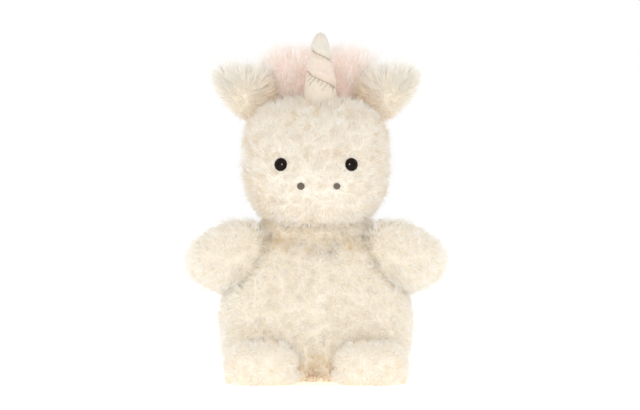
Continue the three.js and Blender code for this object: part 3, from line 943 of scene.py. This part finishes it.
def lathe(profile, sides):
    """A closed turned shape from (radius, height) rows that start and end on the axis."""
    angle = np.arange(sides) * 2 * math.pi / sides
    rings = [ring(r, h, angle) for r, h in profile[1:-1]]
    ends = [[(0, 0, profile[0][1]), (0, 0, profile[-1][1])]]
    return np.concatenate(rings + ends), capped(len(rings), sides)


def rod(path, radius, sides):
    """A closed round rod along a path, rounded at both ends."""
    path = np.array(path, float)
    along = unit(np.gradient(path, axis=0))
    beside = np.cross(along[0], ASKEW)
    count = len(path)
    angle = np.arange(sides) * 2 * math.pi / sides
    points = []
    for i in range(count):
        beside = unit(beside - along[i] * (beside @ along[i]))
        other = np.cross(along[i], beside)
        narrow = 0.55 if i in (0, count - 1) else 1.0
        ring = np.cos(angle)[:, None] * beside + np.sin(angle)[:, None] * other
        points.append(path[i] + radius * narrow * ring)
    return np.concatenate(points + [path[:1], path[-1:]]), capped(count, sides), 0, None


def twisted(path, radius, pitch=1.3):
    """Two plies of thread wound round a path."""
    path = np.array(path, float)
    along = unit(np.gradient(path, axis=0))
    beside = unit(np.cross(along, ASKEW))
    other = np.cross(along, beside)
    gone = np.append(0, np.cumsum(np.linalg.norm(np.diff(path, axis=0), axis=1)))
    turn = (gone * 2 * math.pi / pitch)[:, None]
    plies = []
    for start in (0, math.pi):
        wound = np.cos(turn + start) * beside + np.sin(turn + start) * other
        plies.append(rod(path + wound * radius * 0.45, radius * 0.6, 6))
    return plies


def detail(name, parts, stuff, body, slot, node_name, smooth=True):
    """Makes a piece that stands for its CAD node and moves with its body."""
    made = build(name, parts, [stuff], smooth)
    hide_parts(node_name)
    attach(made, body)
    return made


# ---- Face details ----
def eyes():
    """Glossy domes on ribbed shanks, each locked behind the face by a toothed washer."""
    arc = [(EYE["r"] * math.cos(a), EYE["dome"] * math.sin(a)) for a in np.linspace(0, 1.5, 12)]
    ribs = [(1.25 if i % 2 else 1.05, -SHANK + 0.6 * i) for i in range(14)]
    rim = [(EYE["r"] - 0.5, -0.6), (EYE["r"] - 0.12, -0.5), (EYE["r"], -0.2)]
    profile = [(0, -SHANK), *ribs, (1.2, -0.6), *rim, *arc, (0, EYE["dome"])]
    for side, sign in SIDES.items():
        seat = face_at(sign * EYE["x"], EYE["z"])
        points, groups = lathe(profile, 48)
        dome = [(stood(points, seat), groups, 0, None)]
        detail(f"eye_{side}_button", dome, eye_plastic, "head", "eye_plastic", f"eye_{side}")
        lock = [washer(seat)]
        node_name = f"eye_washer_{side}"
        detail(f"eye_{side}_lock", lock, washer_plastic, "head", "washer_plastic", node_name, False)


def washer(seat):
    """A flat ring whose bore is cut into six gripping teeth."""
    steps = 72
    angle = np.arange(steps) * 2 * math.pi / steps
    bore = np.where(np.arange(steps) % 12 < 3, WASHER["bore"] + 1.1, WASHER["bore"])
    outer = np.full(steps, WASHER["r"])
    low, high = -WASHER["depth"] - WASHER["thick"], -WASHER["depth"]
    loops = [(outer, low), (outer, high), (bore, high + 0.15), (bore, low + 0.15)]
    rings = [ring(r, h, angle) for r, h in loops]
    faces = ring_quads(len(loops) + 1, steps) % (len(loops) * steps)
    return stood(np.concatenate(rings), seat), [faces], 0, None


def nostrils():
    """Satin stitches laid side by side over a small padded spot."""
    for side, sign in SIDES.items():
        seat = face_at(NOSTRIL["aside"] + sign * NOSTRIL["x"], NOSTRIL["z"])
        r = NOSTRIL["r"] - (0.2 if side == "left" else 0)
        pad = lathe([(0, -0.6), (r - 0.3, -0.6), (r - 0.2, 0.1), (r * 0.6, 0.35), (0, 0.4)], 24)
        parts = [(stood(pad[0], seat), pad[1], 0, None)]
        for x in np.linspace(-r + 0.2, r - 0.2, 9):
            reach = math.sqrt(max(r * r - x * x, 0.3))
            v = np.linspace(-1, 1, 9)
            rise = 0.1 + 0.55 * np.sqrt(1 - 0.94 * v**2) * (reach / r)
            path = np.stack([x + 0.08 * np.sin(5 * v + 9 * x), reach * v, rise], 1)
            parts.append(rod(stood(path, seat), 0.24, 6))
        node_name = f"nostril_{side}"
        detail(f"{node_name}_stitches", parts, nostril_thread, "head", "nostril_thread", node_name)


# ---- Horn ----
def spiral_share(along):
    """The height of the spiral thread, as a share of the horn's, that many degrees along it."""
    return np.interp(along, *zip(*HORN_SPIRAL))


def horn_point(angle, share, out=0.0):
    """A point of the horn at an angle in degrees and a share of its height."""
    wide = np.interp(share, *zip(*HORN_ENVELOPE)) * HORN["r"] - horn_pinch(angle, share) + out
    a = np.radians(angle)
    height = HORN["base"] + share * HORN_TALL + 0 * wide
    return np.stack([HORN["x"] + wide * np.cos(a), HORN["y"] + wide * np.sin(a), height], -1)


def horn_pinch(angle, share):
    """How far the spiral thread pulls the cloth in, with small puckers beside it."""
    total = 0
    for lap in (0, 360):
        along = (angle - HORN_SPIRAL_START) % 360 + lap
        away = (share - spiral_share(along)) * HORN_TALL
        there = smoothstep(along, -20, 15) * (1 - smoothstep(along, 505, 540))
        pull = HORN_PULL["depth"] * np.exp(-((away / HORN_PULL["width"]) ** 2))
        fold = np.sin(np.radians(along) * 17) * np.exp(-(((away + 1.4) / 1.9) ** 2))
        puff = HORN_PULL["puff"] * np.exp(-(((away - HORN_PULL["puff_at"]) / 2) ** 2))
        total = total + there * (pull + HORN_PULL["pucker"] * fold - puff)
    return total * smoothstep(1 - share, 0.02, 0.2)


def horn_segment(angle, share):
    """0 below the lower thread, 0.5 between the threads and 1 above the upper one."""
    along = (angle - HORN_SPIRAL_START) % 360
    upper = smoothstep(share - spiral_share(along), -0.01, 0.01)
    lower = smoothstep(share - spiral_share(along + 360), -0.01, 0.01)
    return (upper + lower) / 2


def horn_shell():
    """The horn's outer skin, open at its foot, and the part of it that each corner lies in."""
    levels = np.linspace(HORN_ENVELOPE[0][0], 1, 90)
    steps = 128
    grid = horn_point(*np.meshgrid(np.arange(steps) * 360 / steps, levels)).reshape(-1, 3)
    points = np.concatenate([grid, [[HORN["x"], HORN["y"], HORN["top"]]]])
    k = (len(levels) - 1) * steps + np.arange(steps)
    tip = np.stack([k, np.roll(k, -1), np.full(steps, len(grid))], 1)
    faces = np.concatenate([ring_triangles(len(levels), steps), tip])
    angles = np.degrees(np.arctan2(points[:, 1] - HORN["y"], points[:, 0] - HORN["x"]))
    shade = horn_segment(angles, (points[:, 2] - HORN["base"]) / HORN_TALL)
    return lumpy(points, (HORN["x"], HORN["y"], HORN_MIDDLE), 0.25, 9, 21), faces, shade


def horn():
    points, faces, shade = horn_shell()
    cloth = shell(points, faces, 0.9)
    parts = [(*cloth, 0, {"shade": np.tile(shade, 2)})]
    made = detail("horn_cloth", parts, suede, "horn", "horn_cloth", "horn_cover")
    for name, first, last, stitches in (("upper", 0, 150, 0), ("lower", 350, 520, 8)):
        along = np.linspace(first, last, 70)
        parts = twisted(horn_point(along + HORN_SPIRAL_START, spiral_share(along), 0.2), 0.22)
        for i in range(stitches):
            parts.append(side_stitch(along[12 + 7 * i], 1.8 + 2.8 * (i % 3) / 2))
        detail(f"horn_stitching_{name}", parts, horn_thread, "horn", "horn_thread", f"horn_thread_{name}")


def side_stitch(along, length):
    """A short stitch that runs down and back from the spiral."""
    t = np.linspace(0, 1, 8)
    share = spiral_share(along) - t * length / HORN_TALL
    angle = along + HORN_SPIRAL_START - 6 * t * length
    return rod(horn_point(angle, share, 0.15 - 0.3 * smoothstep(t, 0.8, 1.0)), 0.13, 6)


# ---- Neck, label and what is inside ----
def neck():
    """The seam that joins head and body: its furry allowance, and its closing thread."""
    sides = 96
    angle = np.linspace(0, 2 * math.pi, sides + 1)[:-1]
    rings = [ring(r, h, angle, NECK_DEEP) for r, h in NECK_SLEEVE]
    faces = ring_triangles(len(rings), sides)
    parts = fur_parts(np.concatenate(rings), faces, NECK_PILE, 600, leaning(0, 0, -0.5), 1.4)
    # Painted shade under the chin.
    paint_crease_shade(parts)
    made = build("neck_fur", parts, [knit, cream])
    bend(made, 1, ("torso", "neck"), NECK_JOIN)
    circle = ring(NECK_RING["r"], NECK_RING["z"], np.linspace(0, 2 * math.pi, 161))
    thread = twisted(circle, NECK_RING["thread"], 2.4)
    detail("neck_stitching", thread, seam_thread, "neck", "seam_thread", "neck_seam")


def care_label():
    """A blank satin ribbon sewn into the seam under the tail."""
    columns, lines = 13, 19
    u, v = np.meshgrid(np.linspace(-0.5, 0.5, columns), np.linspace(0, 1, lines))
    droop = -1.8 * v**2 + 0.35 * np.sin(5 * v) * np.cos(3 * u)
    grid = [u * LABEL["width"], LABEL["root"] + v * LABEL["length"], LABEL["z"] + droop]
    rows = []
    for i in range(lines - 1):
        for a in range(i * columns, (i + 1) * columns - 1):
            rows += [(a, a + 1, a + columns + 1), (a, a + columns + 1, a + columns)]
    cloth = shell(np.stack(grid, -1).reshape(-1, 3), np.array(rows), LABEL["thick"])
    parts = [(*cloth, 0, None)]
    made = detail("care_label_ribbon", parts, satin, "torso", "label_cloth", "care_label")


def filling(name, seed):
    """Loose fibre packed into the space that a filling's CAD solid holds."""
    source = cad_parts[name]
    made = bpy.data.objects.new(f"{name}_fibre", source.data.copy())
    bpy.context.scene.collection.objects.link(made)
    remesh = made.modifiers.new("remesh", "REMESH")
    remesh.mode = "VOXEL"
    remesh.voxel_size = 0.0012
    graph = bpy.context.evaluated_depsgraph_get()
    mesh = bpy.data.meshes.new_from_object(made.evaluated_get(graph))
    made.modifiers.clear()
    made.data = mesh
    points = np.empty(len(mesh.vertices) * 3)
    mesh.vertices.foreach_get("co", points)
    points = points.reshape(-1, 3) / MM
    low, high = points.min(0), points.max(0)
    tufted = np.clip(lumpy(points, (low + high) / 2, -0.5, 5, seed), low, high) * MM
    mesh.vertices.foreach_set("co", tufted.reshape(-1))
    mesh.materials.clear()
    mesh.materials.append(fibre)
    mesh.polygons.foreach_set("use_smooth", np.full(len(mesh.polygons), True))
    mesh.update()
    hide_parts(name)
    return made


def fillings():
    for i, body in enumerate(("torso", "head", "horn")):
        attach(filling(f"{body}_stuffing", 31 + i), body)
    for i, (side, sign) in enumerate(SIDES.items()):
        for limb, ends in (("arm", ARM_JOIN), ("leg", LEG_JOIN)):
            body = f"{limb}_{side}"
            bend(filling(f"{body}_stuffing", 34 + i), sign, ("torso", body), ends)


def bean_bag():
    """A calico bag lying on the base."""
    points, faces = cushion(BEANS, 5)
    points[:, 2] = np.maximum(points[:, 2], BAG_FLOOR)
    wrinkled = lumpy(points, BEANS["centre"], 0.35, 9, 41)
    wrinkled[:, 2] = np.maximum(wrinkled[:, 2], BAG_FLOOR)
    parts = [(*shell(wrinkled, faces, BAG_CLOTH), 0, None)]
    made = detail("bean_bag_cloth", parts, calico, "torso", "bag_cloth", "bean_bag")


def pellets():
    """The plastic beans in the bag, in uneven rows."""
    rng = np.random.default_rng(43)
    span = np.arange(-30, 31) * PELLET_GAP
    centre = np.array(BEANS["centre"])
    spots = np.stack(np.meshgrid(span, span, span), -1).reshape(-1, 3) + centre
    spots[:, :2] += np.where((np.arange(len(spots)) % 2)[:, None] == 0, 0.0, 0.4)
    half = np.array([BEANS["side"], BEANS["front"], BEANS["up"]]) - 3
    room = (np.abs((spots - centre) / half) ** BEANS["power"]).sum(1) < 1
    spots = spots[room & (spots[:, 2] > BAG_FLOOR + 2.6)]
    spots += rng.uniform(-0.4, 0.4, spots.shape)
    corners, rows = sphere(2)
    size = rng.uniform([1.2, 1.2, 0.9], [1.5, 1.5, 1.2], (len(spots), 3))
    points = (spots[:, None] + corners[None] * size[:, None]).reshape(-1, 3)
    faces = (rows[None] + (np.arange(len(spots)) * len(corners))[:, None, None]).reshape(-1, 3)
    parts = [(points, faces, 0, None)]
    detail("bean_bag_pellets", parts, bean_plastic, "torso", "bean_plastic", "bean_pellets")


# ---- Stage ----
def studio():
    """White paper under the toy, white light all round, a soft front lamp and a small glint."""
    scene = bpy.context.scene
    scene.view_settings.view_transform = "Standard"
    scene.cycles.max_bounces = 16
    scene.cycles.diffuse_bounces = 10  # pale pile is lit mostly by light from its own threads
    world = bpy.data.worlds.new("studio")
    world.use_nodes = True
    feed(world.node_tree.nodes["Background"], Color=srgb(*WHITE), Strength=1.0)
    scene.world = world
    paper, _, shader = material("white_paper", 0.9, Base_Color=(0.95, 0.95, 0.95, 1))
    feed(shader, Emission_Color=srgb(*WHITE), Emission_Strength=0.35)
    bm = bmesh.new()
    bmesh.ops.create_grid(bm, x_segments=8, y_segments=8, size=4)
    mesh = bpy.data.meshes.new("floor")
    bm.to_mesh(mesh)
    bm.free()
    mesh.materials.append(paper)
    floor = bpy.data.objects.new("floor", mesh)
    scene.collection.objects.link(floor)
    for name, spot, size, power, gloss_only in LAMPS:
        lamp = bpy.data.lights.new(name, "AREA")
        lamp.size = size
        lamp.energy = power
        holder = stand(name, lamp, Vector(spot), LAMP_AIM)
        holder.visible_diffuse = not gloss_only


def stand(name, data, spot, aim):
    """Puts a lamp or camera at a spot, pointed at its aim."""
    holder = bpy.data.objects.new(name, data)
    holder.location = spot
    holder.rotation_euler = (aim - spot).to_track_quat("-Z", "Y").to_euler()
    bpy.context.scene.collection.objects.link(holder)
    return holder


def camera():
    """A long lens almost level with the toy."""
    aim = Vector((CAMERA["aside"], 0, CAMERA["height"])) * MM
    distance, elevation = CAMERA["distance"], math.radians(CAMERA["elevation"])
    data = bpy.data.cameras.new("camera")
    data.sensor_width = 36
    data.lens = 36 * distance / (CAMERA["width"] * MM)
    spot = aim + Vector((0, -math.cos(elevation), math.sin(elevation))) * distance
    bpy.context.scene.camera = stand("camera", data, spot, aim)


studio()
camera()
torso_panels()
head_panels()
arm_panels()
leg_panels()
ear_panels()
mane()
tail()
eyes()
nostrils()
horn()
neck()
care_label()
fillings()
bean_bag()
pellets()
